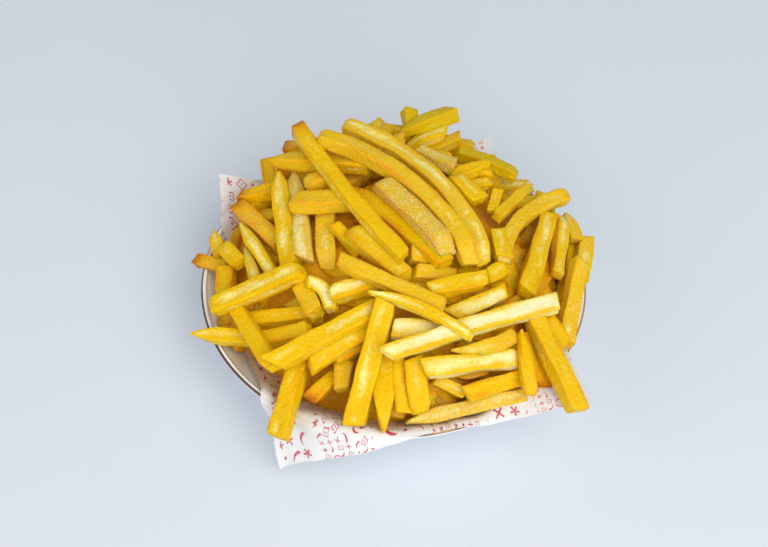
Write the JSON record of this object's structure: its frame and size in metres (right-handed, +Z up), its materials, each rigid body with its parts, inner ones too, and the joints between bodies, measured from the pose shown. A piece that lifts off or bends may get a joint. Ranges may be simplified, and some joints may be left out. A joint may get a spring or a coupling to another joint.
{
  "type": "portion of french fries in a dish",
  "caption": "Heaped portion of golden french fries on a sheet of white greaseproof paper in a shallow round white dish with a gold line on its rim.",
  "frame": {"origin": "middle of the dish's flat underside", "axes": "+Z up; -Y towards the diner, +X to the diner's right"},
  "size_m": [0.2211, 0.2224, 0.1032],
  "materials": {
    "glazed_white": "gloss",
    "greaseproof_paper": "satin",
    "fried_potato": "satin"
  },
  "bodies": {
    "root": {"dish": "glazed_white", "paper_liner": "greaseproof_paper", "fries_heap": "fried_potato"}
  },
  "joints": []
}
